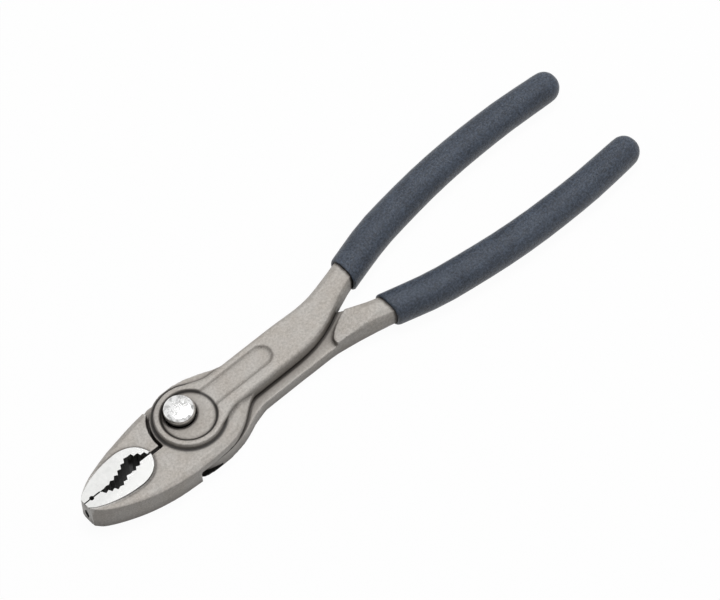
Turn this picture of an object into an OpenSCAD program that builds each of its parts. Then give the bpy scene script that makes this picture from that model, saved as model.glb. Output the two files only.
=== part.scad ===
// Slip joint pliers with a lap joint, a sprung push button and dipped grips.
// The front lever lies on top at the joint, and the rear lever lies under it.
// In the outlines X runs from the jaw tip to the handle ends, Y across the handles,
// and Z up from the plane where the two levers lie on each other.

/* [Whole tool] */
// Length from the jaw tip to the handle ends
tool_l = 200; // [190:0.1:215]
// Thickness over the raised neck faces and the grips
tool_t = 10; // [9.4:0.1:11]

/* [Jaws] */
// Length of the jaws, from the tip to the flange beside the joint
jaw_l = 31; // [28:0.1:34]
// Width of the front lever's jaw at its back, from the seam
front_jaw_w = 13; // [12:0.1:14]
// Width of the rear lever's jaw at its back, from the seam
rear_jaw_w = 12.7; // [12:0.1:13.5]
// Height of the ground face of the jaws above the lap plane
lens_h = 4.8; // [4.4:0.1:4.9]
// Step of the ground face above the jaw's face at the tip
lens_step = 0.15; // [0.1:0.05:0.3]
// Length of the ground face, from the tip
lens_l = 23.4; // [21:0.1:26]
// Width of the ground face to each side of the seam
lens_w = 6.3; // [5:0.1:7]
// Height of the jaw and flange faces beside the joint
web_h = 3.5; // [3.2:0.1:3.8]
// Run of the broad bevel along the outer edge of jaw and flange
bevel_run = 2; // [1:0.1:2.4]
// Drop of that bevel on the front jaw and on both flanges
bevel_drop = 0.9; // [0.5:0.1:1.2]
// Drop of the bevel on the rear jaw
rear_bevel_drop = 2; // [1:0.1:2.4]
// Radius of the wire hole in the seam
wire_r = 0.7; // [0.4:0.1:0.9]
// Distance of the wire hole from the tip
wire_x = 2.5; // [2:0.1:3.5]
// Height of the grip slot in the front face
tip_slot_h = 4.4; // [3:0.1:6]
// Width of the grip slot in the front face
tip_slot_w = 1.8; // [0.8:0.1:2]
// Depth of the grip slot behind the front face
tip_slot_depth = 1; // [0.5:0.1:1.2]
// Distance of the grip slot's middle below the lap plane
tip_slot_down = 1; // [0:0.1:1.5]
// Draft by which the jaw's foot is wider than its top at the tip
tip_draft = 0.6; // [0:0.1:0.8]
// Depth of the pipe teeth
tooth_d = 0.75; // [0.4:0.05:0.9]
// Gap that the cutting edges leave behind the teeth
cutter_gap = 0.4; // [0.1:0.05:0.5]
// Run of the slope in front of the toothed opening
mouth_run = 0.5; // [0.3:0.1:0.8]

/* [Joint] */
// Distance of the ring's centre from the tip
ring_x = 39.2; // [39:0.1:40]
// Distance of the ring's centre above the middle line
ring_y = 1.7; // [1.2:0.1:2]
// Radius of the recess floor inside the ring
recess_r = 7.5; // [7:0.1:8]
// Slope run of the recess wall
recess_slope = 1.1; // [0.4:0.1:1.5]
// Height of the recess floor above the lap plane
recess_h = 4.1; // [3.9:0.1:4.3]
// Outer radius of the ring at its foot
ring_r = 10.8; // [10.3:0.1:11.1]
// Slope run of the ring's outer side
ring_slope = 1; // [0.6:0.1:1.4]
// Radius of the boss that carries the ring
boss_r = 11.4; // [11.2:0.1:11.6]
// Gap between the boss and the rear jaw's shoulder
shoulder_gap = 0.8; // [0.6:0.1:1.2]
// Distance of the bolt in front of the ring's centre
bolt_back = 1.3; // [1:0.1:1.6]
// Distance of the bolt above the ring's centre
bolt_up = 2.5; // [2.2:0.1:2.8]
// Gap between the two levers' lap faces
lap_gap = 0.06; // [0.04:0.01:0.1]
// Largest opening of the handles at one slot seat, degrees
open_angle = 25; // [20:1:28]

/* [Bolt and button] */
// Radius of the bolt's shank
shank_r = 2.65; // [2.2:0.05:2.9]
// Running clearance of the shank in the front lever
run_gap = 0.05; // [0.03:0.01:0.1]
// Radius of the button's skirt
button_r = 4.6; // [4.4:0.05:4.7]
// Radius of the button's flat top
button_top_r = 3.9; // [3.4:0.05:4.1]
// Height of the button above the recess floor
button_h = 3.4; // [3:0.1:4]
// Thickness of the button's top
button_wall = 1.2; // [1:0.1:1.4]
// Thickness of the button's skirt
skirt_t = 0.55; // [0.45:0.05:0.6]
// Depth of the counterbore that holds the button, below the recess floor
counter_depth = 2.5; // [2.3:0.1:2.6]
// Length of the button's hub on the bolt
hub_l = 1.5; // [1:0.1:1.8]
// Travel of the button when it is pressed
press = 1.4; // [1.35:0.01:1.4]
// Wire diameter of the button spring
spring_d = 0.6; // [0.4:0.05:0.7]
// Turns of the button spring
spring_turns = 3.5; // [3:0.5:4]
// Thickness of the washer under the spring
seat_t = 0.4; // [0.3:0.05:0.5]
// Thickness of the locking collar
collar_t = 1.3; // [1:0.1:1.4]
// Radius of the locking collar
collar_r = 3.6; // [3.3:0.05:3.7]
// Thickness of the retaining ring
ring_t = 0.4; // [0.3:0.05:0.4]
// Length of the bolt's end behind the retaining ring
bolt_lip = 0.2; // [0.15:0.01:0.2]

/* [Slot] */
// Number of seats along the slot
seats = 4; // [3:1:4]
// Distance from seat to seat
seat_pitch = 2.6; // [2.2:0.1:2.6]
// Radius of one seat for the collar
seat_r = 3.9; // [3.8:0.05:4]
// Distance of the slot's turning centre from the tip
slip_x = 92; // [88:0.5:96]
// Thickness of the lap plate above the seats
slot_z = 1.5; // [1.3:0.1:1.6]
// Clearance of the bolt in the slot
slot_gap = 0.15; // [0.1:0.01:0.2]
// Rim of free space round the seats on the underside
seat_rim = 1.3; // [1:0.1:1.5]
// Width of the raised bead round the slot on the underside
bead_w = 2.2; // [1.8:0.1:2.6]
// Distance of the rear boss in front of the ring's centre
rear_boss_back = 0.6; // [0.4:0.1:0.8]
// Distance of the rear boss below the middle line
rear_boss_down = 1; // [0.8:0.1:1.2]
// Thickness of the ledge round the rear lever's heel, on the underside
ledge_t = 1; // [0.6:0.1:1.4]

/* [Neck and handles] */
// Distance from the tip to the straight neck
neck_x = 60; // [58:0.1:61]
// Length of the straight neck
neck_l = 14; // [12:0.1:16]
// Width of the neck
neck_w = 12.6; // [12:0.1:13]
// Distance from the middle line to the middle of a handle, at its widest
spread = 17.95; // [16:0.05:20]
// Thickness of the steel tang inside the grip
tang_t = 8.2; // [7.6:0.1:8.4]
// Rounding of the neck's edges
neck_round = 1; // [0.6:0.1:1.4]
// Length of the lap web in the crotch behind the neck
crotch_l = 22; // [18:0.5:24]
// Rounding of the tang's edges where it enters the grip
tang_round = 2.4; // [1:0.1:2.6]
// Length of the sunk panel on the neck
panel_l = 23; // [18:0.1:24]
// Width of the sunk panel
panel_w = 6; // [5:0.1:7]
// Depth of the sunk panel below the neck face
panel_depth = 0.7; // [0.4:0.1:0.9]
// Distance of the panel's middle above the neck's
panel_up = 0.6; // [0.3:0.1:0.8]

/* [Grips] */
// Width of the dipped grip at the middle of the handle
grip_w = 10.7; // [10:0.1:12]
// Thickness of the dipped skin on each side of the tang
dip_t = 1.35; // [1.1:0.05:1.6]
// Distance from the tip to the front end of the front grip
grip_x = 104; // [103:0.1:110]
// How much further back the rear grip starts
grip_stagger = 1.2; // [0:0.1:2]
// Thickness of the grip over the end of the tang
grip_end_t = 2.2; // [1.5:0.1:3]
// Rounding of the grip's front edge
grip_lip = 0.35; // [0.2:0.05:0.5]

/* [Hidden] */
$fn = 96;

// One overrun for every cut
over = 1;
half_t = tool_t / 2;
half_neck = neck_w / 2;
tang_w = grip_w - 2 * dip_t;
bolt_x = ring_x - bolt_back;
bolt_y = ring_y + bolt_up;
steel = [0.70, 0.68, 0.65];
chrome = [0.90, 0.90, 0.92];
vinyl = [0.30, 0.34, 0.40];
far = tool_l;

// A smooth curve through hand-placed points, with a few steps to each stretch
curve_steps = 4;
function blend_point(a, b, c, d, t) =
    0.5 * ((2 * b) + (c - a) * t + (2 * a - 5 * b + 4 * c - d) * t * t
        + (3 * b - a - 3 * c + d) * t * t * t);
function smooth(p, n = curve_steps) =
    let (last = len(p) - 1)
    [for (i = [0 : last - 1]) for (k = [0 : n - 1])
        blend_point(p[max(i - 1, 0)], p[i], p[i + 1], p[min(i + 2, last)], k / n), p[last]];
function flip(p) = [for (i = [len(p) - 1 : -1 : 0]) p[i]];
function scaled(shares, from, size) =
    [for (s = shares) [from[0] + s[0] * size[0], from[1] + s[1] * size[1]]];

// A row of points that runs back from the tip, drawn in along its normals. A bevel fades
// towards the tip: from the share fade[0] it grows by all of itself over fade[1] of the jaw
no_fade = [1, 1];
function faded(x, fade) = min(1, fade[0] + x / (fade[1] * jaw_l));
function unit(v) = v / max(norm(v), 0.000001);
function side(a, b) = let (d = unit(b - a)) [-d[1], d[0]];
function drawn_in(p, d, fade) =
    let (last = len(p) - 1)
    [for (i = [0 : last])
        let (a = side(p[max(i - 1, 0)], p[max(i, 1)]),
             b = side(p[min(i, last - 1)], p[min(i + 1, last)]), m = unit(a + b),
             q = p[i] - m * d * faded(p[i][0], fade) / (m * a))
        [i == 0 || i == last ? p[i][0] : q[0], q[1]]];

// A solid between loops of equal length, each anticlockwise as seen from the last one
module stack(loops) {
    n = len(loops[0]);
    last = len(loops) - 1;
    polyhedron(
        points = [for (loop = loops) each loop],
        faces = concat(
            [[for (i = [0 : n - 1]) i]],
            [for (k = [0 : last - 1]) for (i = [0 : n - 1])
                let (j = (i + 1) % n) [k * n + j, k * n + i, (k + 1) * n + i, (k + 1) * n + j]],
            [[for (i = [n - 1 : -1 : 0]) last * n + i]]));
}
module plate(z0, z1, outline) {
    translate([0, 0, z0]) linear_extrude(z1 - z0) polygon(outline);
}
module disc(c, r, z0, z1) {
    translate([c[0], c[1], z0]) cylinder(h = z1 - z0, r = r);
}

// Jaws

// Outer edge of the jaws from the tip to the flange, as shares of length and width
front_edge_shares = [[0, 0.18], [0.016, 0.22], [0.065, 0.355], [0.19, 0.55], [0.32, 0.69],
    [0.45, 0.80], [0.58, 0.88], [0.71, 0.94], [0.84, 0.975], [1, 1]];
rear_edge_shares = [[0, 0.142], [0.02, 0.20], [0.065, 0.295], [0.165, 0.455], [0.305, 0.605],
    [0.465, 0.745], [0.56, 0.80], [0.67, 0.86], [0.84, 0.945], [1, 1]];
// Outer edge of the ground face, the same on both jaws
lens_shares = [[0, 0.26], [0.06, 0.45], [0.145, 0.61], [0.23, 0.74], [0.32, 0.84], [0.40, 0.91],
    [0.49, 0.965], [0.60, 1], [0.70, 1], [0.79, 0.93], [0.87, 0.79], [0.93, 0.60], [0.97, 0.38],
    [1, 0.12]];
// Corners of the toothed opening from its mouth to its back end, and the teeth between them
front_bite_shares = [[0.252, 0.08], [0.457, 0.41], [0.833, 0.055]];
rear_bite_shares = [[0.295, -0.12], [0.53, 0.094], [0.765, 0.519], [0.966, 0.016]];
front_teeth = [3, 5];
rear_teeth = [3, 3, 3];
// Where a tooth peaks between its two roots
tooth_peak = 0.55;
// Each jaw's seam face lies half this clearance from the middle line
seam_gap = lap_gap;

// Teeth on a straight run, each rising to one side of it
function teeth(a, b, n, d) =
    let (along = (b - a) / n, out = side(a, b) * d)
    [for (i = [0 : n - 1]) each [a + along * i, a + along * (i + tooth_peak) + out]];
// The seam side of the jaw on +Y: tip, runs of teeth, cutting edge and back
function seam(bite, counts, back) =
    let (low = seam_gap / 2, last = len(counts),
         p = scaled(bite, [0, low], [lens_l, lens_w]),
         rows = concat([for (i = [0 : last - 1]) each teeth(p[i], p[i + 1], counts[i], tooth_d)],
             [p[last]]))
    concat([[-over, low], [p[0][0] - mouth_run, low]],
        [for (q = rows) [q[0], max(q[1], low)]],
        [[lens_l + over, cutter_gap], [back, cutter_gap]]);

// Face height at a distance from the tip: just under the ground face, then down to the flange
tip_z = lens_h - lens_step;
back_z = web_h + 2 * run_gap;
function face_z(x) = tip_z + (back_z - tip_z) * x / jaw_l;
// Fading of the bevel's run and of its drop: share at the tip, and length as a share
front_fade = [[0.1, 1], [0.1, 1]];
rear_fade = [[0.03, 0.58], [0.3, 0.65]];
module jaw_prism(edge_shares, w, drop, fade) {
    edge = smooth(scaled(edge_shares, [0, 0], [jaw_l, w]));
    top = drawn_in(edge, bevel_run, fade[0]);
    bend = neck_round / 2;
    stack([for (p = edge)
        let (x = p[0], foot = p[1] + tip_draft * max(0, 1 - x / half_neck), z = face_z(x))
        [for (q = [[-over, -lens_h], [foot - bend, -lens_h], [foot, bend - lens_h],
            [p[1], z - drop * faded(x, fade[1])], [lookup(x, top), z], [-over, z]])
            [x, q[0], q[1]]]]);
}
// The ground face stands over the jaw's face on the upper side
module lens_pad() {
    plate(over, lens_h, concat([[0, -over]],
        smooth(scaled(lens_shares, [0, 0], [lens_l, lens_w])), [[lens_l, -over]]));
}
// The wire hole and the slot in the front face lie half in each jaw
module tip_bores() {
    disc([wire_x, 0], wire_r, -half_t - over, half_t + over);
    bow_r = (tip_slot_h * tip_slot_h + tip_slot_w * tip_slot_w) / (4 * tip_slot_w);
    translate([-over, 0, -tip_slot_down])
        rotate([0, 90, 0])
            linear_extrude(tip_slot_depth + over)
                intersection() {
                    translate([0, bow_r - tip_slot_w / 2]) circle(r = bow_r);
                    translate([0, tip_slot_w / 2 - bow_r]) circle(r = bow_r);
                }
}
// One jaw on the +Y side of the seam
module jaw(edge_shares, w, drop, fade, bite, counts) {
    difference() {
        union() {
            jaw_prism(edge_shares, w, drop, fade);
            lens_pad();
        }
        plate(-half_t - over, half_t + over, concat(seam(bite, counts, jaw_l + over),
            [[jaw_l + over, -front_jaw_w], [-over, -front_jaw_w]]));
        tip_bores();
    }
}

// Neck and handle, as on the front lever: the handle on +Y and the outer face on +Z

// Middle line of the handle: shares of the handle's length and of its spread
line_shares = [[0, 0], [0.032, 0.009], [0.063, 0.028], [0.095, 0.068], [0.127, 0.135],
    [0.158, 0.2215], [0.19, 0.311], [0.222, 0.391], [0.254, 0.468], [0.285, 0.5385],
    [0.372, 0.72], [0.4675, 0.837], [0.555, 0.923], [0.65, 0.98], [0.745, 1], [0.832, 0.997],
    [0.927, 0.957], [1, 0.92]];
// Half widths along the same length: the steel's as shares of the way from the tang to the neck,
// and the grip's as shares of its own
tang_shares = [[0, 1], [0.032, 0.974], [0.063, 0.852], [0.095, 0.626], [0.127, 0.365],
    [0.158, 0.122], [0.19, 0], [0.222, -0.052], [0.65, -0.087], [0.832, -0.122], [1, -0.209]];
grip_shares = [[0, 0.97], [0.245, 0.98], [0.37, 1.01], [0.555, 0.995], [0.832, 0.95], [1, 0.88]];
handle_x = neck_x + neck_l;
handle_l = tool_l - handle_x;
middle_line = smooth(scaled(line_shares, [handle_x, ring_y], [handle_l, spread - ring_y]));
tang_row = smooth(scaled(tang_shares, [handle_x, tang_w / 2],
    [handle_l, half_neck - tang_w / 2]));
grip_row = smooth(scaled(grip_shares, [handle_x, 0], [handle_l, grip_w / 2]));
function line_at(x) = [x, lookup(x, middle_line)];
function across(x) = side(line_at(x - over), line_at(x + over));
function placed(c, n, section) = [for (q = section) [c[0] + n[0] * q[0], c[1] + n[1] * q[0], q[1]]];

// Half a bar's section: flat at its foot, rounded at the outer face
round_share = 0.3;
function half_section(w, h, r, foot) =
    let (c = round_share * r)
    [[w, foot], [w, h - r], [w - c, h - c], [w - r, h], [r - w, h], [c - w, h - c], [-w, h - r],
     [-w, foot]];
// From a place on the handle to the grip the outer face comes down to the tang's, and its
// rounding grows to the tang's
function eased(x, from, a, b) = a + (b - a) * min(max((x - from) / (grip_x - from), 0), 1);
function bar_stations(foot, top, from) = [for (x = bar_xs)
    placed(line_at(x), across(x), half_section(lookup(x, tang_row),
        eased(x, from, top, tang_t / 2), eased(x, from, neck_round, tang_round), foot))];
// The tang ends in a rounded nose inside the grip
tang_end = tool_l - grip_end_t;
nose_x = tang_end - tang_w / 2;
// Its sections: place, width and thickness
nose_shares = [[0.5, 0.94, 0.976], [0.8, 0.76, 0.904], [0.97, 0.45, 0.78]];
function nose(foot) = [for (s = nose_shares)
    placed(line_at(nose_x) + [across(nose_x)[1], -across(nose_x)[0]] * s[0] * tang_w / 2,
        across(nose_x), half_section(lookup(nose_x, tang_row) * s[1],
            tang_t / 2 * s[2], tang_round * s[1], foot))];
bar_shares = [0, 0.03, 0.06, 0.09, 0.12, 0.15, 0.18, 0.22, 0.26, 0.31, 0.36, 0.42, 0.48, 0.54,
    0.61, 0.68, 0.75, 0.82, 0.89, 0.95, 1];
bar_xs = [for (s = bar_shares) handle_x + s * (nose_x - handle_x)];

// Neck stations between the ring and the straight neck: place and half width
flare_shares = [[0, 1.45], [0.12, 1.36], [0.24, 1.22], [0.38, 1.07], [0.52, 1.01], [0.75, 1]];
flare_x = ring_x + ring_r * 0.35;
module upper_bar(from) {
    flare = smooth(flare_shares, 2);
    stack(concat(
        [for (s = flare) placed([flare_x + s[0] * (neck_x - flare_x), ring_y], [0, 1],
            half_section(s[1] * half_neck, half_t, neck_round, lap_gap / 2))],
        bar_stations(lap_gap / 2, half_t, from), nose(lap_gap / 2)));
}

// The handle's other half starts at a curved shoulder that clears the other lever
shoulder_shares = [[0.104, 1.12], [0.1, 0.96], [0.104, 0.74], [0.115, 0.58], [0.132, 0.42],
    [0.157, 0.26], [0.185, 0.16]];
// Angle and foot of its outer face, which climbs from the shoulder to the full handle
rise_angle = 11;
rise_foot = tang_t * 0.2;
module lower_tang() {
    mirror([0, 0, 1]) stack(concat(bar_stations(-lap_gap, tang_t / 2, handle_x),
        nose(-lap_gap)));
}
module lower_bar() {
    shoulder = smooth(scaled(shoulder_shares, [handle_x, 0], [handle_l, half_neck + ring_y]));
    last = shoulder[len(shoulder) - 1];
    difference() {
        lower_tang();
        plate(-half_t - over, over, concat(
            [[neck_x, far], [shoulder[0][0], far]], shoulder, [[last[0], -far], [neck_x, -far]]));
        translate([shoulder[2][0], 0, -rise_foot])
            rotate([0, rise_angle, 0])
                translate([-far / 2, -far / 2, -tang_t])
                    cube([far, far, tang_t]);
    }
}

// Outline of the lap half beside the joint, on the jaw's side and on the handle's side
flange_shares = [[0, 1], [0.17, 0.998], [0.31, 0.985], [0.45, 0.92], [0.52, 0.84], [0.59, 0.735],
    [0.655, 0.61], [0.72, 0.45], [0.79, 0.265], [0.86, 0.10], [0.93, 0], [1, -0.06]];
// The rear lever's flange swells a little beside its jaw
rear_flange_shares = [[0, 1], [0.015, 1.05], [0.04, 1.1], [0.075, 1.125], [0.11, 1.125],
    [0.145, 1.11], [0.18, 1.09], [0.25, 1.03], [0.31, 0.985], [0.45, 0.92], [0.52, 0.84],
    [0.59, 0.735], [0.655, 0.61], [0.72, 0.45], [0.79, 0.265], [0.86, 0.10], [0.93, 0], [1, -0.06]];
heel_shares = [[0, 0.97], [0.1, 1], [0.23, 0.92], [0.33, 0.84], [0.42, 0.71], [0.52, 0.57],
    [0.615, 0.41], [0.71, 0.24], [0.81, 0.12], [0.90, 0.02], [1, -0.08]];
// The rear lever's heel is longer, and fills the lap under the front lever's flange
rear_heel_shares = [[-0.38, 0.55], [-0.35, 0.72], [-0.3, 0.83], [-0.2, 0.9], [-0.05, 0.93],
    [0.1, 0.925], [0.23, 0.86], [0.33, 0.79], [0.42, 0.71], [0.52, 0.57], [0.615, 0.41],
    [0.71, 0.24], [0.81, 0.12], [0.90, 0.02], [1, -0.08]];
// Above the ledge the rear heel's front end draws in towards the boss
rear_wall_shares = [[-0.33, 0.2], [-0.3, 0.38], [-0.236, 0.6], [-0.149, 0.79], [-0.06, 0.9],
    [0.1, 0.925], [0.23, 0.86], [0.33, 0.79], [0.42, 0.71], [0.52, 0.57], [0.615, 0.41],
    [0.71, 0.24], [0.81, 0.12], [0.90, 0.02], [1, -0.08]];
boss_top = ring_y + boss_r;
// The round plates lie a hair below the flange, so that their faces stay apart
round_top = web_h - run_gap;
// The jaw's side, drawn here with the jaw on +Y
module flange(shares, w) {
    inner = half_neck - ring_y;
    // It starts inside the jaw, and stays a hair inside the jaw's outline
    full = w - 2 * run_gap;
    start = jaw_l - over;
    edge = concat([[start, full]], smooth([for (s = shares)
        [jaw_l + s[0] * (neck_x - jaw_l), inner + s[1] * (full - inner)]], 2));
    top = drawn_in(edge, bevel_run, no_fade);
    stack([for (p = edge)
        [for (q = [[-over, lap_gap / 2], [p[1], lap_gap / 2], [p[1], web_h - bevel_drop],
            [lookup(p[0], top), web_h], [-over, web_h]])
            [p[0], q[0], q[1]]]]);
}
// The handle's side, drawn here with the handle on +Y
neck_top = ring_y + half_neck;
function heel_row(shares) =
    scaled(shares, [ring_x, neck_top], [neck_x - ring_x, boss_top - neck_top]);
module heel(shares, foot, top) {
    row = smooth(heel_row(shares), 2);
    plate(foot, top, concat([[row[0][0], ring_y], [neck_x, ring_y]], flip(row)));
}

// Sunk panel with sloping walls, open to the recess
panel_y = ring_y + panel_up;
panel_slope = panel_depth * 0.9;
module panel() {
    end_x = ring_x + recess_r + panel_l - panel_w / 2;
    floor_z = half_t - panel_depth;
    r0 = panel_w / 2;
    r1 = r0 + panel_slope * (panel_depth + over) / panel_depth;
    translate([end_x, panel_y, floor_z])
        cylinder(h = panel_depth + over, r1 = r0, r2 = r1);
    translate([ring_x, panel_y, floor_z])
        rotate([90, 0, 90])
            linear_extrude(end_x - ring_x)
                polygon([[-r0, 0], [r0, 0], [r1, panel_depth + over], [-r1, panel_depth + over]]);
}

// Levels at the bolt, upwards through the front lever
counter_z = recess_h - counter_depth;
seat_top = counter_z + seat_t;
skirt_z = seat_top + press + seat_t / 2;
button_top = recess_h + button_h;
roof_z = button_top - button_wall;
// The bolt's thinner top end is pressed into the button's hub
stub_r = shank_r * 0.68;
hub_r = shank_r + run_gap;
hub_z = roof_z - hub_l;
stub_z = roof_z + button_wall / 2;
counter_r = button_r + run_gap * 2;
skirt_r = button_r - skirt_t;
bolt_at = [bolt_x, bolt_y];

module front_lever() {
    in_frame() color(steel) difference() {
        union() {
            difference() {
                mirror([0, 1, 0])
                    jaw(front_edge_shares, front_jaw_w, bevel_drop, front_fade,
                        front_bite_shares, front_teeth);
                rear_sweep();
            }
            mirror([0, 1, 0]) flange(flange_shares, front_jaw_w);
            disc([ring_x, ring_y], boss_r, lap_gap / 2, round_top);
            translate([ring_x, ring_y, web_h - over])
                cylinder(h = half_t - web_h + over, r1 = ring_r, r2 = ring_r - ring_slope);
            heel(heel_shares, lap_gap / 2, round_top);
            upper_bar(handle_x);
            lower_bar();
        }
        translate([ring_x, ring_y, recess_h])
            cylinder(h = half_t - recess_h + over, r1 = recess_r,
                r2 = recess_r + recess_slope * (half_t - recess_h + over) / (half_t - recess_h));
        panel();
        disc(bolt_at, shank_r + run_gap, -over, half_t);
        disc(bolt_at, counter_r, counter_z, half_t);
    }
}
// Room under the front jaw for the rear lever's boss as the handles open
rear_boss_r = boss_r;
rear_boss = [ring_x - rear_boss_back, -rear_boss_down];
function turned(p, c, a) =
    let (d = p - c) c + [d[0] * cos(a) - d[1] * sin(a), d[0] * sin(a) + d[1] * cos(a)];
// The front part of the rear lever's heel reaches this far from the bolt
heel_front = heel_row(rear_heel_shares)[2];
heel_reach = norm([heel_front[0], -heel_front[1]] - bolt_at);
// The room for it goes on to both sides by this share of the opening angle
sweep_spare = 0.4;
sweep_steps = 7;
module rear_sweep() {
    for (a = [0, open_angle / 2, open_angle])
        disc(turned(rear_boss, bolt_at, -a), rear_boss_r + shoulder_gap,
            -half_t - over, lap_gap / 2);
    shut = atan2(-heel_front[1] - bolt_y, heel_front[0] - bolt_x);
    from = shut - open_angle * (1 + sweep_spare);
    to = shut + open_angle * sweep_spare;
    plate(-half_t - over, lap_gap / 2, concat([bolt_at], [for (i = [0 : sweep_steps])
        let (a = from + (to - from) * i / sweep_steps)
        bolt_at + (heel_reach + shoulder_gap) * [cos(a), sin(a)]]));
}

// Rear lever

// The bolt's path in the rear lever is an arc about a centre between the handles
slip_at = [slip_x, 0];
slip_r = norm(bolt_at - slip_at);
slip_pitch = 2 * asin(seat_pitch / (2 * slip_r));
slip_angle = slip_pitch * (seats - 1);
function seat_at(i) = turned(bolt_at, slip_at, slip_pitch * i);
teeth_z = slot_z + collar_t + 2 * run_gap;
slot_r = shank_r + slot_gap;
clear_r = seat_r + seat_rim;
bead_r = clear_r + bead_w;
// A slot along the bolt's path
module path(r, z0, z1) {
    disc(seat_at(0), r, z0, z1);
    disc(seat_at(seats - 1), r, z0, z1);
    start = atan2(bolt_at[1] - slip_at[1], bolt_at[0] - slip_at[0]);
    translate([slip_at[0], slip_at[1], z0])
        rotate([0, 0, start])
            rotate_extrude(angle = slip_angle)
                translate([slip_r - r, 0]) square([2 * r, z1 - z0]);
}
// Lap web that fills the crotch beside the rear handle
crotch_shares = [[0, 0.58], [0.25, 0.58], [0.4545, 0.444], [0.636, 0.30], [0.818, 0.206],
    [0.909, 0.135], [0.977, 0.01], [1.068, -0.15], [1.136, -0.23], [1.32, -0.70]];
module rear_lever() {
    in_frame() color(steel) difference() {
        union() {
            difference() {
                jaw(rear_edge_shares, rear_jaw_w, rear_bevel_drop, rear_fade,
                    rear_bite_shares, rear_teeth);
                disc([ring_x, ring_y], boss_r + shoulder_gap, -lap_gap / 2, half_t + over);
            }
            rotate([180, 0, 0]) {
                mirror([0, 1, 0]) flange(rear_flange_shares, rear_jaw_w);
                heel(rear_wall_shares, lap_gap / 2, lens_h);
                heel(rear_heel_shares, lens_h - ledge_t, lens_h);
                upper_bar(slip_x);
                lower_bar();
                disc([rear_boss[0], -rear_boss[1]], rear_boss_r, lap_gap / 2, round_top);
            }
            path(bead_r, -half_t, -web_h + over);
            crotch = scaled(crotch_shares, [handle_x, 0], [crotch_l, half_neck]);
            plate(-web_h, -lap_gap / 2,
                concat(crotch, [[crotch[len(crotch) - 1][0], -half_neck], [handle_x, 0]]));
        }
        path(slot_r, -half_t, over);
        for (i = [0 : seats - 1]) disc(seat_at(i), seat_r, -half_t, -slot_z);
        path(clear_r, -half_t - over, -teeth_z);
    }
}

// Grips

// A rounded section: the exponent squares the corners off
section_power = 0.9;
section_steps = 24;
function bulged(v) = sign(v) * pow(abs(v), section_power);
function grip_section(w, h) = [for (i = [0 : section_steps - 1])
    let (a = 360 * i / section_steps) [w * bulged(cos(a)), h * bulged(sin(a))]];
grip_nose_x = tool_l - grip_w * 0.5;
grip_nose_shares = [[0.35, 0.97], [0.62, 0.85], [0.82, 0.66], [0.94, 0.42], [1, 0.16]];
// Its even sections start this far behind the front edge
grip_settle = grip_w / 5;
grip_run_shares = [0, 0.06, 0.12, 0.19, 0.26, 0.34, 0.42, 0.5, 0.58, 0.66, 0.74, 0.82, 0.91, 1];
// Its front end is square to the tool's length, and its later sections to the handle
function across_grip(x, first) =
    let (n = across(x), t = min(max((x - first - grip_lip) / grip_w, 0), 1))
    n * t + [0, 1 / n[1]] * (1 - t);
// The grip with its handle on +Y
module grip(first, from) {
    lip = [[first, 1 - grip_lip * 2 / grip_w], [first + grip_lip, 1]];
    start = first + grip_settle;
    run = [for (s = grip_run_shares) [start + s * (grip_nose_x - start), 1]];
    n = across(grip_nose_x);
    difference() {
        stack(concat(
            [for (s = concat(lip, run)) placed(line_at(s[0]), across_grip(s[0], first),
                grip_section(lookup(s[0], grip_row) * s[1], half_t * s[1]))],
            [for (s = grip_nose_shares)
                placed(line_at(grip_nose_x) + [n[1], -n[0]] * s[0] * (tool_l - grip_nose_x), n,
                    grip_section(lookup(grip_nose_x, grip_row) * s[1], half_t * s[1]))]));
        upper_bar(from);
        lower_tang();
    }
}
module front_grip() { in_frame() color(vinyl) grip(grip_x, handle_x); }
module rear_grip() {
    in_frame() color(vinyl) rotate([180, 0, 0]) grip(grip_x + grip_stagger, slip_x);
}

// Bolt and button

end_r = shank_r * 0.75;
groove_r = end_r * 0.8;
fit = run_gap / 2;
ring_seat_z = teeth_z - run_gap;
step_z = ring_seat_z - collar_t;
bolt_end = ring_seat_z + ring_t + bolt_lip;
module at_bolt() { in_frame() translate([bolt_x, bolt_y, 0]) children(); }
module joint_bolt() {
    at_bolt() color(chrome) difference() {
        rotate_extrude() polygon([[0, -bolt_end], [end_r, -bolt_end],
            [end_r, -step_z], [shank_r, -step_z], [shank_r, hub_z], [stub_r, hub_z],
            [stub_r, stub_z], [0, stub_z]]);
        // Groove for the retaining ring
        difference() {
            translate([0, 0, -ring_seat_z - ring_t]) cylinder(h = ring_t, r = end_r + over);
            translate([0, 0, -ring_seat_z - ring_t]) cylinder(h = ring_t, r = groove_r);
        }
    }
}
// The crown's rounding, outwards and downwards from the flat top
crown_shares = [[1, 2.19], [0.5, 0.7], [0.15, 0.15], [0, 0]];
module push_button() {
    edge = button_r - button_top_r;
    at_bolt() color(chrome) rotate_extrude() polygon(concat(
        [[stub_r + fit, hub_z], [hub_r, hub_z], [hub_r, roof_z], [skirt_r, roof_z],
        [skirt_r, skirt_z], [button_r, skirt_z]],
        [for (s = crown_shares) [button_top_r + edge * s[0], button_top - edge * s[1]]],
        [[0, button_top], [0, stub_z + fit], [stub_r + fit, stub_z + fit]]));
}
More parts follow.
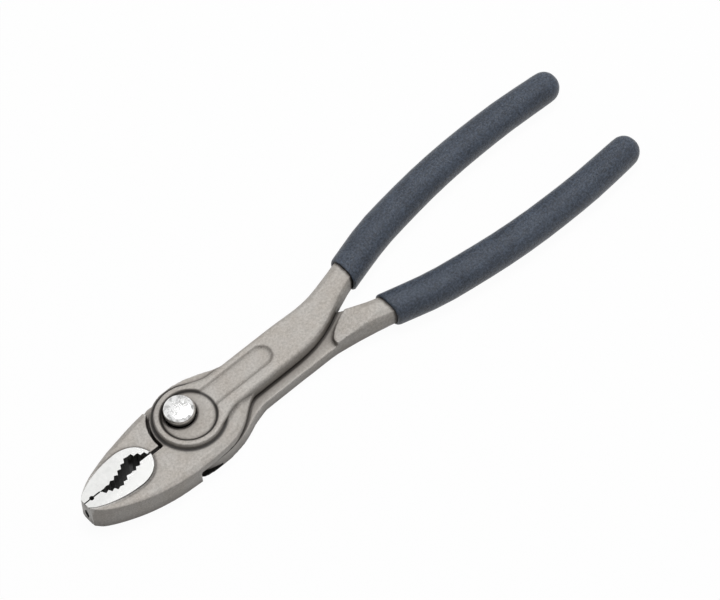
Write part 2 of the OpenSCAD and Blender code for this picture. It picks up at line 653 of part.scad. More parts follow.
// A coil that stays a hair clear of the washer and of the button's roof
coil_steps = 16;
wire_sides = 8;
coil_wire_r = spring_d / 2 - fit / 4;
module button_spring() {
    coil_r = (skirt_r + hub_r) / 2;
    rise = roof_z - seat_top - spring_d;
    turns = [for (i = [0 : spring_turns * coil_steps]) i / coil_steps];
    at_bolt() color(steel) stack([for (t = turns)
        let (a = 360 * t, z = seat_top + spring_d / 2 + rise * t / spring_turns)
        [for (k = [0 : wire_sides - 1]) let (b = -360 * k / wire_sides,
            r = coil_r + cos(b) * coil_wire_r)
            [r * cos(a), r * sin(a), z + sin(b) * coil_wire_r]]]);
}
module spring_seat() {
    at_bolt() color(steel) translate([0, 0, counter_z]) difference() {
        cylinder(h = seat_t, r = counter_r - 4 * run_gap);
        translate([0, 0, -over]) cylinder(h = seat_t + 2 * over, r = shank_r + 2 * run_gap);
    }
}
module lock_collar() {
    at_bolt() color(steel) translate([0, 0, -ring_seat_z]) difference() {
        cylinder(h = collar_t, r = collar_r);
        translate([0, 0, -over]) cylinder(h = collar_t + 2 * over, r = end_r + fit);
    }
}
module retaining_ring() {
    slit = 40;
    at_bolt() color(steel) translate([0, 0, -ring_seat_z - ring_t + fit / 2])
        rotate([0, 0, slit / 2])
            rotate_extrude(angle = 360 - slit)
                translate([groove_r + fit, 0]) square([end_r * 0.7, ring_t - fit]);
}

module in_frame() { translate([-tool_l / 2, 0, half_t]) children(); }

front_lever();
rear_lever();
front_grip();
rear_grip();
joint_bolt();
push_button();
button_spring();
spring_seat();
lock_collar();
retaining_ring();
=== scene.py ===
import math

import bpy
from mathutils import Matrix, Vector


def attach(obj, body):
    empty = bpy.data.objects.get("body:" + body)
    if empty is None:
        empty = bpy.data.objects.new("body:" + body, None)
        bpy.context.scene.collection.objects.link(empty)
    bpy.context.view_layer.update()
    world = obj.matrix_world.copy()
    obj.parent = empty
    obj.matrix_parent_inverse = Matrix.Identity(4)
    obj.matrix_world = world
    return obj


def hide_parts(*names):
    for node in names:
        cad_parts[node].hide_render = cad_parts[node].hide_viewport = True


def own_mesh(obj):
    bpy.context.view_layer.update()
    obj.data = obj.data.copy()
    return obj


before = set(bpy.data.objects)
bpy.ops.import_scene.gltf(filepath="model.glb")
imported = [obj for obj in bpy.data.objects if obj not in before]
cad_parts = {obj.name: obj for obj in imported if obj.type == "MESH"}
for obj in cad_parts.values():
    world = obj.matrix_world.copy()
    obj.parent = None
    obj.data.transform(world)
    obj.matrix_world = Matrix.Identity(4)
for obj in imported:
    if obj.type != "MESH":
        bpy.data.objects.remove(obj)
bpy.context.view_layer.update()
MM = 0.001


# The studio
# A white table and a pale room, with a broad soft lamp high behind the tool and a weaker one
# at its right. The camera looks down from the jaw side, with the handles running away from it.
TIP_TO_CENTRE = 100
LAP_HEIGHT = 5


def place(x, y, z):
    """A point given in millimetres from the jaw tip, the middle line and the lap plane."""
    return Vector(((x - TIP_TO_CENTRE) * MM, y * MM, (z + LAP_HEIGHT) * MM))


def looking(azimuth, elevation, roll):
    """The right, up and back directions of a view, all angles in degrees."""
    a, e, r = (math.radians(v) for v in (azimuth, elevation, roll))
    back = Vector((math.sin(a) * math.cos(e), -math.cos(a) * math.cos(e), math.sin(e)))
    right = Vector((math.cos(a), math.sin(a), 0))
    up = back.cross(right)
    turned = right * math.cos(r) + up * math.sin(r)
    return turned, back.cross(turned), back


VIEW_AZIMUTH = -40.23
VIEW_ELEVATION = 56.87
VIEW_ROLL = -3.02
VIEW_DISTANCE = 0.72632
VIEW_TARGET = place(101.96, -0.98, 0)
SENSOR_WIDTH = 36
FOCAL_LENGTH = 125
NEAREST_SEEN = 0.01

right, up, back = looking(VIEW_AZIMUTH, VIEW_ELEVATION, VIEW_ROLL)
bpy.ops.object.camera_add(location=VIEW_TARGET + back * VIEW_DISTANCE)
camera = bpy.context.object
camera.name = "camera"
camera.rotation_euler = Matrix((right, up, back)).transposed().to_euler()
camera.data.sensor_width = SENSOR_WIDTH
camera.data.lens = FOCAL_LENGTH
camera.data.clip_start = NEAREST_SEEN
bpy.context.scene.camera = camera


def lamp(name, azimuth, elevation, distance, size, power):
    """A square lamp that faces the tool, with its distance and size in metres."""
    side, top, away = looking(azimuth, elevation, 0)
    bpy.ops.object.light_add(type="AREA", location=VIEW_TARGET + away * distance)
    light = bpy.context.object
    light.name = name
    light.rotation_euler = Matrix((side, top, away)).transposed().to_euler()
    light.data.size = size
    light.data.energy = power


lamp("lamp_above", azimuth=VIEW_AZIMUTH + 165, elevation=75, distance=1.2, size=0.5, power=8.4)
lamp("lamp_right", azimuth=VIEW_AZIMUTH + 90, elevation=32, distance=1.4, size=0.6, power=3)


def seen_rays(nodes, links):
    """A factor of 1 for the rays that show the room itself: camera, glossy and transmission rays."""
    path = nodes.new("ShaderNodeLightPath")
    glossy = nodes.new("ShaderNodeMath")
    glossy.operation = "MAXIMUM"
    links.new(path.outputs["Is Camera Ray"], glossy.inputs[0])
    links.new(path.outputs["Is Glossy Ray"], glossy.inputs[1])
    through = nodes.new("ShaderNodeMath")
    through.operation = "MAXIMUM"
    links.new(glossy.outputs[0], through.inputs[0])
    links.new(path.outputs["Is Transmission Ray"], through.inputs[1])
    return through.outputs[0]


ROOM_LIGHT = (0.96, 0.98, 1, 1)
ROOM_LIGHT_STRENGTH = 0.2
SEEN_STRENGTH = 1
world = bpy.data.worlds.new("pale_room")
bpy.context.scene.world = world
world.use_nodes = True
room = world.node_tree
room.nodes.clear()
room_out = room.nodes.new("ShaderNodeOutputWorld")
room_mix = room.nodes.new("ShaderNodeMixShader")
room_light = room.nodes.new("ShaderNodeBackground")
room_light.inputs["Color"].default_value = ROOM_LIGHT
room_light.inputs["Strength"].default_value = ROOM_LIGHT_STRENGTH
room_seen = room.nodes.new("ShaderNodeBackground")
room_seen.inputs["Strength"].default_value = SEEN_STRENGTH
room.links.new(seen_rays(room.nodes, room.links), room_mix.inputs["Fac"])
room.links.new(room_light.outputs[0], room_mix.inputs[1])
room.links.new(room_seen.outputs[0], room_mix.inputs[2])
room.links.new(room_mix.outputs[0], room_out.inputs["Surface"])

# The table is grey to the light that it throws back on the tool, and white where it is seen
TABLE_SIZE = 6
TABLE_GREY = (0.3, 0.3, 0.3, 1)
TABLE_WHITE = (0.95, 0.95, 0.95, 1)
TABLE_GLOW_SHARE = 0.96
bpy.ops.object.select_all(action="DESELECT")
bpy.ops.mesh.primitive_plane_add(size=TABLE_SIZE, location=(0, 0, 0))
table = bpy.context.object
table.name = "table_top"
table_paint = bpy.data.materials.new("white_table")
table_paint.use_nodes = True
paint = table_paint.node_tree
paint.nodes.clear()
paint_out = paint.nodes.new("ShaderNodeOutputMaterial")
paint_matte = paint.nodes.new("ShaderNodeBsdfDiffuse")
paint_tone = paint.nodes.new("ShaderNodeMix")
paint_tone.data_type = "RGBA"
paint_tone.inputs[6].default_value = TABLE_GREY
paint_tone.inputs[7].default_value = TABLE_WHITE
paint.links.new(paint_tone.outputs[2], paint_matte.inputs["Color"])
paint_glow = paint.nodes.new("ShaderNodeEmission")
paint_glow.inputs["Strength"].default_value = SEEN_STRENGTH
paint_mix = paint.nodes.new("ShaderNodeMixShader")
paint_share = paint.nodes.new("ShaderNodeMath")
paint_share.operation = "MULTIPLY"
paint_share.inputs[1].default_value = TABLE_GLOW_SHARE
paint_seen = seen_rays(paint.nodes, paint.links)
paint.links.new(paint_seen, paint_tone.inputs[0])
paint.links.new(paint_seen, paint_share.inputs[0])
paint.links.new(paint_share.outputs[0], paint_mix.inputs["Fac"])
paint.links.new(paint_matte.outputs[0], paint_mix.inputs[1])
paint.links.new(paint_glow.outputs[0], paint_mix.inputs[2])
paint.links.new(paint_mix.outputs[0], paint_out.inputs["Surface"])
table.data.materials.append(table_paint)
bpy.context.scene.view_settings.view_transform = "Standard"


# The two levers
# Each is one forging of tool steel, ground where the halves meet, blasted and nickel plated.
# The forging die leaves every outer edge soft. Painted shade darkens its corners, creases and
# hollows, and a painted highlight lightens its sharp edges.
MERGE_GAP = 0.0005
SMOOTH_FACTOR = 0.5


def alone(piece):
    """Selects this piece and nothing else."""
    bpy.ops.object.select_all(action="DESELECT")
    piece.select_set(True)
    bpy.context.view_layer.objects.active = piece


def merged_copy(node, name):
    """The CAD node's shape as a new closed mesh."""
    piece = bpy.data.objects.new(name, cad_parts[node].data.copy())
    bpy.context.scene.collection.objects.link(piece)
    piece.data.materials.clear()
    alone(piece)
    bpy.ops.object.mode_set(mode="EDIT")
    bpy.ops.mesh.select_all(action="SELECT")
    bpy.ops.mesh.remove_doubles(threshold=MERGE_GAP * MM)
    bpy.ops.object.mode_set(mode="OBJECT")
    if piece.data.has_custom_normals:
        bpy.ops.mesh.customdata_custom_splitnormals_clear()
    return piece


def modify(piece, kind, **settings):
    """A modifier, applied at once."""
    alone(piece)
    modifier = piece.modifiers.new(kind.lower(), kind)
    for key, value in settings.items():
        setattr(modifier, key, value)
    bpy.ops.object.modifier_apply(modifier=modifier.name)


def prism(name, half, low, high):
    """An upright block whose half outline on +Y is given as (x, y) in tool millimetres."""
    ring = half + [(x, -y) for x, y in reversed(half)]
    count = len(ring)
    corners = [place(x, y, low) for x, y in ring] + [place(x, y, high) for x, y in ring]
    sides = [(i, (i + 1) % count, (i + 1) % count + count, i + count) for i in range(count)]
    bottom = tuple(range(count))[::-1]
    top = tuple(range(count, 2 * count))
    shape = bpy.data.meshes.new(name)
    shape.from_pydata(corners, [], sides + [bottom, top])
    block = bpy.data.objects.new(name, shape)
    bpy.context.scene.collection.objects.link(block)
    alone(block)
    bpy.ops.object.mode_set(mode="EDIT")
    bpy.ops.mesh.select_all(action="SELECT")
    bpy.ops.mesh.normals_make_consistent(inside=False)
    bpy.ops.object.mode_set(mode="OBJECT")
    return block


def carve(piece, operation, name, half, low, high):
    """Keeps the part of a piece that is inside an upright block, or the part outside it."""
    block = prism(name, half, low, high)
    modify(piece, "BOOLEAN", operation=operation, solver="EXACT", object=block)
    bpy.data.objects.remove(block)


def softened(piece, voxel, passes, inward=0.0):
    """The piece as one skin with soft edges, drawn in by a hair where that is asked."""
    modify(piece, "REMESH", mode="VOXEL", voxel_size=voxel * MM)
    modify(piece, "SMOOTH", factor=SMOOTH_FACTOR, iterations=passes)
    if inward:
        modify(piece, "DISPLACE", strength=-inward * MM, mid_level=0)
    for face in piece.data.polygons:
        face.use_smooth = True


def smooth_row(row, steps):
    """A smooth curve through given points, with a few steps to each stretch."""
    last = len(row) - 1
    out = []
    for i in range(last):
        a = Vector(row[max(i - 1, 0)])
        b = Vector(row[i])
        c = Vector(row[i + 1])
        d = Vector(row[min(i + 2, last)])
        for k in range(steps):
            t = k / steps
            q = 0.5 * (2 * b + (c - a) * t + (2 * a - 5 * b + 4 * c - d) * t ** 2
                       + (3 * b - a - 3 * c + d) * t ** 3)
            out.append((q.x, q.y))
    return out + [tuple(row[last])]


# Each jaw keeps a crisp core with its ground face and teeth, inside the outline of that face.
# The soft forging has room for the core, and the seam is relieved a little beside the tip.
GROUND_LENGTH = 23.4
GROUND_WIDTH = 6.3
GROUND_SHARES = [(0, 0.26), (0.06, 0.45), (0.145, 0.61), (0.23, 0.74), (0.32, 0.84), (0.40, 0.91),
                 (0.49, 0.965), (0.60, 1), (0.70, 1), (0.79, 0.93), (0.87, 0.79), (0.93, 0.60),
                 (0.97, 0.38), (1, 0.12)]
GROUND_STEPS = 4
BEFORE_TIP = -1
CORE_OVERHANG = 0.01
CORE_FOOT = -4.77
CORE_ROOM = [(-2, 1.0), (3.6, 1.0), (5, 2.6), (7.4, 4.2), (10, 5.1), (13, 5.6), (17, 5.6),
             (20, 4.7), (22, 3.0), (23.1, 1.3)]
SEAM_RELIEF = [(-2, 0.16), (5.4, 0.24)]
SEAM_RELIEF_FOOT = 3.9
ABOVE_JAW = 6
PAST_TOOL = 7
FORGING_VOXEL = 0.3
FORGING_PASSES = 3
FORGING_INWARD = 0.02

ground_row = smooth_row([(x * GROUND_LENGTH, y * GROUND_WIDTH) for x, y in GROUND_SHARES],
                        GROUND_STEPS)
ground_row = [(BEFORE_TIP, ground_row[0][1])] + ground_row
core_row = [(x, y + CORE_OVERHANG) for x, y in ground_row]
forged = {}
for side_name in ("front", "rear"):
    node = side_name + "_lever"
    core = merged_copy(node, side_name + "_jaw_core")
    carve(core, "INTERSECT", "core_block", core_row, CORE_FOOT, ABOVE_JAW)
    carve(core, "DIFFERENCE", "seam_relief", SEAM_RELIEF, SEAM_RELIEF_FOOT, ABOVE_JAW)
    forging = merged_copy(node, side_name + "_forging")
    carve(forging, "DIFFERENCE", "core_room", CORE_ROOM, -PAST_TOOL, PAST_TOOL)
    softened(forging, FORGING_VOXEL, FORGING_PASSES, inward=FORGING_INWARD)
    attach(forging, side_name)
    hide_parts(node)
    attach(core, side_name)
    forged[side_name] = (forging, core)


class Finish:
    """A material whose nodes are laid out one by one, on object coordinates."""

    def __init__(self, name):
        self.material = bpy.data.materials.new(name)
        self.material.use_nodes = True
        self.nodes = self.material.node_tree.nodes
        self.links = self.material.node_tree.links
        self.shader = self.nodes["Principled BSDF"]
        self.spot = self.nodes.new("ShaderNodeTexCoord").outputs["Object"]

    def set(self, **values):
        """Values that are the same all over, on the shader's own sockets."""
        for key, value in values.items():
            self.shader.inputs[key.replace("_", " ")].default_value = value

    def noise(self, scale, detail=3.0, rough=0.5):
        """Noise with so many clouds to the metre."""
        node = self.nodes.new("ShaderNodeTexNoise")
        node.inputs["Scale"].default_value = scale
        node.inputs["Detail"].default_value = detail
        node.inputs["Roughness"].default_value = rough
        self.links.new(self.spot, node.inputs["Vector"])
        return node.outputs["Fac"]

    def ramp(self, value, *stops):
        """Two colours, each with the value at which it is reached."""
        node = self.nodes.new("ShaderNodeValToRGB")
        for element, (at, colour) in zip(node.color_ramp.elements, stops):
            element.position = at
            element.color = (*colour, 1)
        self.links.new(value, node.inputs["Fac"])
        return node.outputs["Color"]

    def mixed(self, share, a, b):
        """The first colour at a share of 0 and the second at 1."""
        node = self.nodes.new("ShaderNodeMix")
        node.data_type = "RGBA"
        for value, socket in ((share, node.inputs[0]), (a, node.inputs[6]), (b, node.inputs[7])):
            if isinstance(value, (int, float)):
                socket.default_value = value
            elif isinstance(value, tuple):
                socket.default_value = (*value, 1)
            else:
                self.links.new(value, socket)
        return node.outputs[2]

    def spread(self, value, low, high):
        """0 below the low value and 1 above the high one."""
        node = self.nodes.new("ShaderNodeMapRange")
        node.inputs["From Min"].default_value = low
        node.inputs["From Max"].default_value = high
        self.links.new(value, node.inputs["Value"])
        return node.outputs["Result"]

    def corner(self, reach, dark_to, light_from, edges=False, samples=12):
        """0 in tight corners, or on sharp edges, and 1 on open faces."""
        node = self.nodes.new("ShaderNodeAmbientOcclusion")
        node.inputs["Distance"].default_value = reach * MM
        node.samples = samples
        node.inside = edges
        return self.spread(node.outputs["AO"], dark_to, light_from)

    def maths(self, kind, *values):
        """One sum on values or numbers."""
        node = self.nodes.new("ShaderNodeMath")
        node.operation = kind
        for value, socket in zip(values, node.inputs):
            if isinstance(value, (int, float)):
                socket.default_value = value
            else:
                self.links.new(value, socket)
        return node.outputs[0]

    def ring_line(self, centre, radius, reach, low, high, full_share=0.3, fade=0.1):
        """0 on a line round an upright axis, between two heights, and 1 away from it."""
        split = self.nodes.new("ShaderNodeSeparateXYZ")
        self.links.new(self.spot, split.inputs[0])
        x, y, z = split.outputs
        middle = place(*centre, 0)
        from_x = self.maths("SUBTRACT", x, middle.x)
        from_y = self.maths("SUBTRACT", y, middle.y)
        square = self.maths("ADD", self.maths("MULTIPLY", from_x, from_x),
                            self.maths("MULTIPLY", from_y, from_y))
        off = self.maths("SUBTRACT", self.maths("SQRT", square), radius * MM)
        away = self.spread(self.maths("ABSOLUTE", off), full_share * reach * MM, reach * MM)
        under = self.spread(z, place(0, 0, low).z, place(0, 0, low - fade).z)
        over = self.spread(z, place(0, 0, high).z, place(0, 0, high + fade).z)
        return self.maths("MAXIMUM", away, self.maths("MAXIMUM", under, over))

    def bump(self, value, distance, strength=1.0):
        """Relief from a value, with its depth in millimetres."""
        node = self.nodes.new("ShaderNodeBump")
        node.inputs["Strength"].default_value = strength
        node.inputs["Distance"].default_value = distance * MM
        self.links.new(value, node.inputs["Height"])
        self.links.new(node.outputs["Normal"], self.shader.inputs["Normal"])

    def use(self, value, socket):
        """Joins a value to one of the shader's sockets."""
        self.links.new(value, self.shader.inputs[socket])


GRAIN_DARK = (0.33, 0.305, 0.275)
GRAIN_LIGHT = (0.62, 0.585, 0.545)
CLOUD_DARK = (0.42, 0.375, 0.33)
CLOUD_LIGHT = (0.50, 0.475, 0.445)
CLOUD_SHARE = 0.5
PAINTED_EDGE_HIGHLIGHT = (0.78, 0.75, 0.71)
PAINTED_HOLLOW_SHADE = (0.22, 0.20, 0.18)
PAINTED_CREASE_SHADE = (0.06, 0.051, 0.044)
PAINTED_CORNER_SHADE = (0.03, 0.025, 0.02)
PAINTED_LINE_SHADE = (0.014, 0.012, 0.01)
satin = Finish("satin_nickel_forging")
satin.set(Metallic=0.14, Roughness=0.52)
satin_grain = satin.noise(scale=1400, detail=4, rough=0.75)
satin_cloud = satin.noise(scale=140, detail=4, rough=0.6)
satin_tone = satin.ramp(satin_grain, (0.38, GRAIN_DARK), (0.62, GRAIN_LIGHT))
cloud_tone = satin.ramp(satin_cloud, (0.38, CLOUD_DARK), (0.62, CLOUD_LIGHT))
satin_tone = satin.mixed(CLOUD_SHARE, satin_tone, cloud_tone)
# Painted highlight: sharp convex edges are lightened towards a pale colour.
off_highlit_edges = satin.corner(reach=0.7, dark_to=0.55, light_from=0.93, edges=True)
satin_tone = satin.mixed(off_highlit_edges, PAINTED_EDGE_HIGHLIGHT, satin_tone)
# Painted shade: the forging darkens in hollows near raised features.
off_hollows = satin.corner(reach=5, dark_to=0.55, light_from=1)
satin_tone = satin.mixed(off_hollows, PAINTED_HOLLOW_SHADE, satin_tone)
# Painted shade: creases and contact lines are darkened.
off_creases = satin.corner(reach=1.1, dark_to=0.86, light_from=0.985)
satin_tone = satin.mixed(off_creases, PAINTED_CREASE_SHADE, satin_tone)
# Painted shade: tight corners are darkened nearly to black.
off_corners = satin.corner(reach=0.4, dark_to=0.65, light_from=0.95)
satin_tone = satin.mixed(off_corners, PAINTED_CORNER_SHADE, satin_tone)

# Painted shade darkens a line at each foot of the ring round the recess
RING_CENTRE = (39.2, 1.7)
INNER_LINE_RADIUS = 7.95
INNER_LINE_LOW = 4.15
INNER_LINE_HIGH = 4.8
OUTER_LINE_RADIUS = 10.6
OUTER_LINE_LOW = 3.3
OUTER_LINE_HIGH = 4.05
for line_tone, inner_reach, outer_reach in ((PAINTED_CREASE_SHADE, 0.75, 0.8), (PAINTED_LINE_SHADE, 0.36, 0.42)):
    off_line = satin.ring_line(RING_CENTRE, INNER_LINE_RADIUS, inner_reach,
                               INNER_LINE_LOW, INNER_LINE_HIGH)
    satin_tone = satin.mixed(off_line, line_tone, satin_tone)
    off_line = satin.ring_line(RING_CENTRE, OUTER_LINE_RADIUS, outer_reach,
                               OUTER_LINE_LOW, OUTER_LINE_HIGH)
    satin_tone = satin.mixed(off_line, line_tone, satin_tone)
satin.use(satin_tone, "Base Color")
satin.bump(satin_grain, distance=0.12)
for forging, core in forged.values():
    forging.data.materials.append(satin.material)


# The shaded ledge
# A low ledge runs round the front end of the rear lever's heel, beside the front jaw's foot.
# Its faces, all but the underside, are painted near black as a painted shadow for the deep shade
# there.
LEDGE_SHADOW_DARK = (0.005, 0.005, 0.004)
LEDGE_SHADOW_LIGHT = (0.016, 0.015, 0.013)
LEDGE_FROM = place(31, -8, -4.7)
LEDGE_TO = place(38.6, -13.6, -3.35)
LEDGE_UNDERSIDE = -0.6
SHADOWED_LEDGE_SLOT = 1
ledge_shade = Finish("painted_shadow_on_ledge")
ledge_shade.set(Roughness=0.7, Specular_IOR_Level=0.1)
ledge_shade_grain = ledge_shade.noise(scale=1500, detail=2)
ledge_shade.use(ledge_shade.ramp(ledge_shade_grain, (0.3, LEDGE_SHADOW_DARK), (0.7, LEDGE_SHADOW_LIGHT)), "Base Color")
ledge_shade.bump(ledge_shade_grain, distance=0.02, strength=0.5)
rear_forging = forged["rear"][0]
rear_forging.data.materials.append(ledge_shade.material)
# Painted shadow: the ledge faces get the near-black material.
for face in rear_forging.data.polygons:
    spot = face.center
    if (LEDGE_FROM.x < spot.x < LEDGE_TO.x and LEDGE_TO.y < spot.y < LEDGE_FROM.y
            and LEDGE_FROM.z < spot.z < LEDGE_TO.z and face.normal.z > LEDGE_UNDERSIDE):
        face.material_index = SHADOWED_LEDGE_SLOT


# The ground jaw faces
# The two jaws are closed and ground flat as one, so their faces shine round the toothed opening.
# The teeth are milled before that. They and the walls round the ground face are painted near black
# as painted shadow.
LINES_DARK = (0.86, 0.865, 0.85)
LINES_LIGHT = (0.98, 0.98, 0.965)
SHEEN_DARK = (0.87, 0.87, 0.855)
SHEEN_LIGHT = (0.97, 0.97, 0.955)
SHEEN_SHARE = 0.6
ground = Finish("ground_jaw_face")
ground.set(Metallic=0.95, Roughness=0.1)
ground_lines = ground.noise(scale=900, detail=3, rough=0.6)
ground_cloud = ground.noise(scale=110, detail=2)
ground_tone = ground.ramp(ground_lines, (0.36, LINES_DARK), (0.64, LINES_LIGHT))
sheen_tone = ground.ramp(ground_cloud, (0.4, SHEEN_DARK), (0.6, SHEEN_LIGHT))
ground.use(ground.mixed(SHEEN_SHARE, ground_tone, sheen_tone), "Base Color")
ground.bump(ground_lines, distance=0.004, strength=0.3)

# Painted shadow: the teeth and the walls round the ground face are near black.
TEETH_SHADOW_DARK = (0.006, 0.006, 0.005)
TEETH_SHADOW_LIGHT = (0.03, 0.029, 0.026)
milled = Finish("teeth_painted_shadow")
milled.set(Roughness=0.55, Specular_IOR_Level=0.2)
milled_grain = milled.noise(scale=1800, detail=2)
milled.use(milled.ramp(milled_grain, (0.3, TEETH_SHADOW_DARK), (0.7, TEETH_SHADOW_LIGHT)), "Base Color")
milled.bump(milled_grain, distance=0.01, strength=0.5)

GROUND_SLOT = 0
MILLED_SLOT = 1
FORGED_SLOT = 2
GROUND_LEVEL = place(0, 0, 4.75).z
FOOT_LEVEL = place(0, 0, -4.5).z
TIP_FACE = place(0.1, 0, 0).x
FACING = 0.9
for forging, core in forged.values():
    core.data.materials.append(ground.material)
    core.data.materials.append(milled.material)
    core.data.materials.append(satin.material)
    for face in core.data.polygons:
        high = face.center.z > GROUND_LEVEL and face.normal.z > FACING
        front_end = face.normal.x < -FACING and face.center.x < TIP_FACE
        foot = face.normal.z < -FACING and face.center.z < FOOT_LEVEL
        if high:
            face.material_index = GROUND_SLOT
        elif front_end or foot:
            face.material_index = FORGED_SLOT
        else:
            face.material_index = MILLED_SLOT


# The dipped grips
# Each handle is dipped in liquid vinyl, which dries as a thick even skin with a soft sheen and
# a fine mottled face. Painted shade darkens the skin in tight corners, as a thin dark line where the
# dip meets the steel.
FLECK_DARK = (0.005, 0.009, 0.018)
FLECK_LIGHT = (0.078, 0.104, 0.152)
MOTTLE_DARK = (0.023, 0.034, 0.053)
MOTTLE_LIGHT = (0.062, 0.082, 0.115)
MOTTLE_SHARE = 0.35
PAINTED_DIP_SHADE = (0.006, 0.007, 0.009)
GRIP_VOXEL = 0.35
GRIP_PASSES = 10
vinyl = Finish("slate_dipped_vinyl")
vinyl.set(Roughness=0.33, Specular_IOR_Level=0.42)
vinyl_fleck = vinyl.noise(scale=1500, detail=4, rough=0.75)
vinyl_cloud = vinyl.noise(scale=120, detail=3)
vinyl_tone = vinyl.ramp(vinyl_fleck, (0.42, FLECK_DARK), (0.61, FLECK_LIGHT))
mottle_tone = vinyl.ramp(vinyl_cloud, (0.38, MOTTLE_DARK), (0.62, MOTTLE_LIGHT))
vinyl_tone = vinyl.mixed(MOTTLE_SHARE, vinyl_tone, mottle_tone)
# Painted shade: the vinyl darkens in tight corners such as the dip edge.
off_dip_edge = vinyl.corner(reach=0.7, dark_to=0.6, light_from=0.95)
vinyl.use(vinyl.mixed(off_dip_edge, PAINTED_DIP_SHADE, vinyl_tone), "Base Color")
vinyl.bump(vinyl_fleck, distance=0.28)
for side_name in ("front", "rear"):
    dip = merged_copy(side_name + "_grip", side_name + "_dip")
    softened(dip, GRIP_VOXEL, GRIP_PASSES)
    dip.data.materials.append(vinyl.material)
    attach(dip, side_name)
    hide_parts(side_name + "_grip")


# The push button
# A turned steel cap, polished and chromed, with a nearly flat crown and a rounded shoulder.
# It is pressed on the bolt, and its skirt slides in the front lever's counterbore.
BOLT = (37.9, 4.2)
BUTTON_TOP = 7.5
BUTTON_ROOF = 6.3
BUTTON_RADIUS = 4.6
SKIRT_BORE = 4.05
SKIRT_FOOT = 3.6
SKIRT_CHAMFER = 0.1
HUB_RADIUS = 2.7
HUB_BORE = 1.84
HUB_FOOT = 4.8
HUB_ROOF = 6.92
BUTTON_SHOULDER = [(BUTTON_RADIUS, 5.9), (4.585, 6.2), (4.52, 6.5), (4.40, 6.78), (4.24, 7.02),
                   (4.04, 7.22), (3.82, 7.36), (3.6, 7.43), (3.2, 7.46), (2.4, 7.48),
                   (1.2, 7.495)]
TURN_STEPS = 128
TURN_MERGE_GAP = 0.002
CREASE_ANGLE = 40


def turned_piece(name, profile):
    """A closed profile of (radius, height), spun round the bolt's axis."""
    shape = bpy.data.meshes.new(name)
    corners = [place(BOLT[0] + r, BOLT[1], z) for r, z in profile]
    shape.from_pydata(corners, [(i, i + 1) for i in range(len(profile) - 1)], [])
    piece = bpy.data.objects.new(name, shape)
    bpy.context.scene.collection.objects.link(piece)
    alone(piece)
    bpy.ops.object.mode_set(mode="EDIT")
    bpy.ops.mesh.select_all(action="SELECT")
    bpy.ops.mesh.spin(steps=TURN_STEPS, angle=2 * math.pi, center=place(BOLT[0], BOLT[1], 0),
                      axis=(0, 0, 1))
    bpy.ops.mesh.select_all(action="SELECT")
    bpy.ops.mesh.remove_doubles(threshold=TURN_MERGE_GAP * MM)
    bpy.ops.mesh.normals_make_consistent(inside=False)
    bpy.ops.object.mode_set(mode="OBJECT")
    return piece


hub_row = [(0, HUB_ROOF), (HUB_BORE, HUB_ROOF), (HUB_BORE, HUB_FOOT), (HUB_RADIUS, HUB_FOOT),
           (HUB_RADIUS, BUTTON_ROOF)]
skirt_row = [(SKIRT_BORE, BUTTON_ROOF), (SKIRT_BORE, SKIRT_FOOT),
             (BUTTON_RADIUS - SKIRT_CHAMFER, SKIRT_FOOT),
             (BUTTON_RADIUS, SKIRT_FOOT + SKIRT_CHAMFER)]
button = turned_piece("chromed_button",
                      hub_row + skirt_row + BUTTON_SHOULDER + [(0, BUTTON_TOP)])
bpy.ops.object.shade_smooth_by_angle(angle=math.radians(CREASE_ANGLE))

CHROME_DARK = (0.50, 0.50, 0.495)
CHROME_LIGHT = (0.98, 0.98, 0.975)
CHROME_SHADE = (0.035, 0.033, 0.03)
chrome = Finish("polished_chrome")
chrome.set(Metallic=1, Roughness=0.1)
chrome_cloud = chrome.noise(scale=620, detail=3, rough=0.6)
chrome_tone = chrome.ramp(chrome_cloud, (0.36, CHROME_DARK), (0.56, CHROME_LIGHT))
chrome_open = chrome.corner(reach=3.2, dark_to=0.45, light_from=0.95)
chrome.use(chrome.mixed(chrome_open, CHROME_SHADE, chrome_tone), "Base Color")
chrome.bump(chrome_cloud, distance=0.04, strength=0.5)
button.data.materials.append(chrome.material)
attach(button, "button")
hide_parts("push_button")


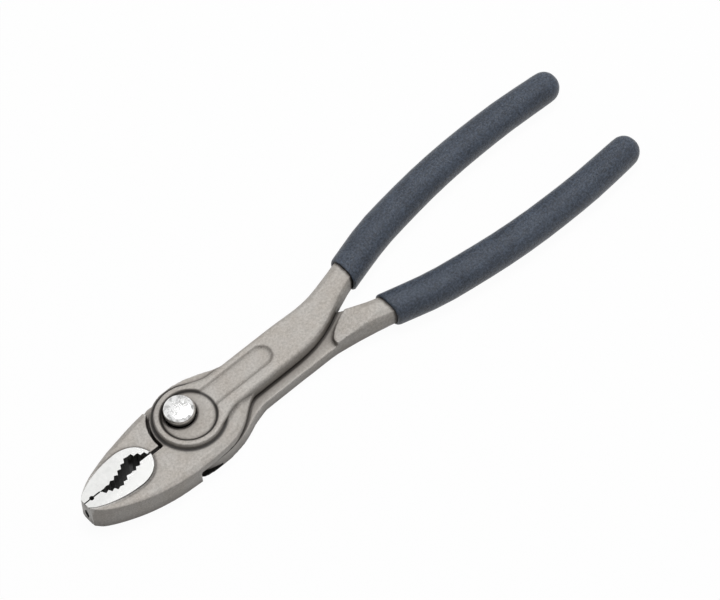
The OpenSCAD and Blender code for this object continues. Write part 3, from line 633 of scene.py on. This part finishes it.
# The button's spring
# A coil of spring wire between the washer and the button's roof, with three and a half turns.
# In the tool the press of the button flattens it towards the washer; here it is one fixed coil on
# the pivot.
SPRING_LOW = 2.0
SPRING_HIGH = 6.3
SPRING_RADIUS = 3.375
SPRING_TURNS = 3.5
WIRE_RADIUS = 0.29
WIRE_SIDES = 12
COIL_STEPS = 112
WIRE_DARK = (0.42, 0.42, 0.43)
WIRE_LIGHT = (0.55, 0.55, 0.56)
bolt_axis = place(BOLT[0], BOLT[1], 0)
coil_start = place(BOLT[0] + SPRING_RADIUS, BOLT[1], SPRING_LOW + WIRE_RADIUS)
bpy.ops.object.select_all(action="DESELECT")
bpy.ops.mesh.primitive_circle_add(vertices=WIRE_SIDES, radius=WIRE_RADIUS * MM, fill_type="NGON",
                                  location=coil_start, rotation=(math.pi / 2, 0, 0))
spring = bpy.context.object
spring.name = "coil_spring"
bpy.ops.object.transform_apply(location=True, rotation=True, scale=True)
# The screw turns round the object's own origin, so the mesh goes there and back. It drops the
# circle's face, so the wire's two ends are open.
for corner in spring.data.vertices:
    corner.co -= bolt_axis
modify(spring, "SCREW", axis="Z", angle=2 * math.pi * SPRING_TURNS, use_normal_calculate=True,
       screw_offset=(SPRING_HIGH - SPRING_LOW - 2 * WIRE_RADIUS) * MM, steps=COIL_STEPS,
       render_steps=COIL_STEPS, iterations=1)
for corner in spring.data.vertices:
    corner.co += bolt_axis
wire = Finish("bright_spring_wire")
wire.set(Metallic=0.9, Roughness=0.35)
wire_grain = wire.noise(scale=900)
wire.use(wire.ramp(wire_grain, (0.3, WIRE_DARK), (0.7, WIRE_LIGHT)), "Base Color")
spring.data.materials.append(wire.material)
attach(spring, "pivot")
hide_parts("button_spring")
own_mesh(spring)


# The turned parts under the joint
# The bolt, its collar, the washer and the retaining ring are turned or stamped steel. All but
# the washer, which lies hidden in the counterbore, show in the rear lever's slot from below.
for node, finish in (("joint_bolt", chrome), ("spring_seat", wire), ("lock_collar", wire),
                     ("retaining_ring", wire)):
    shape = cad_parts[node]
    for slot in shape.material_slots:
        slot.material = finish.material
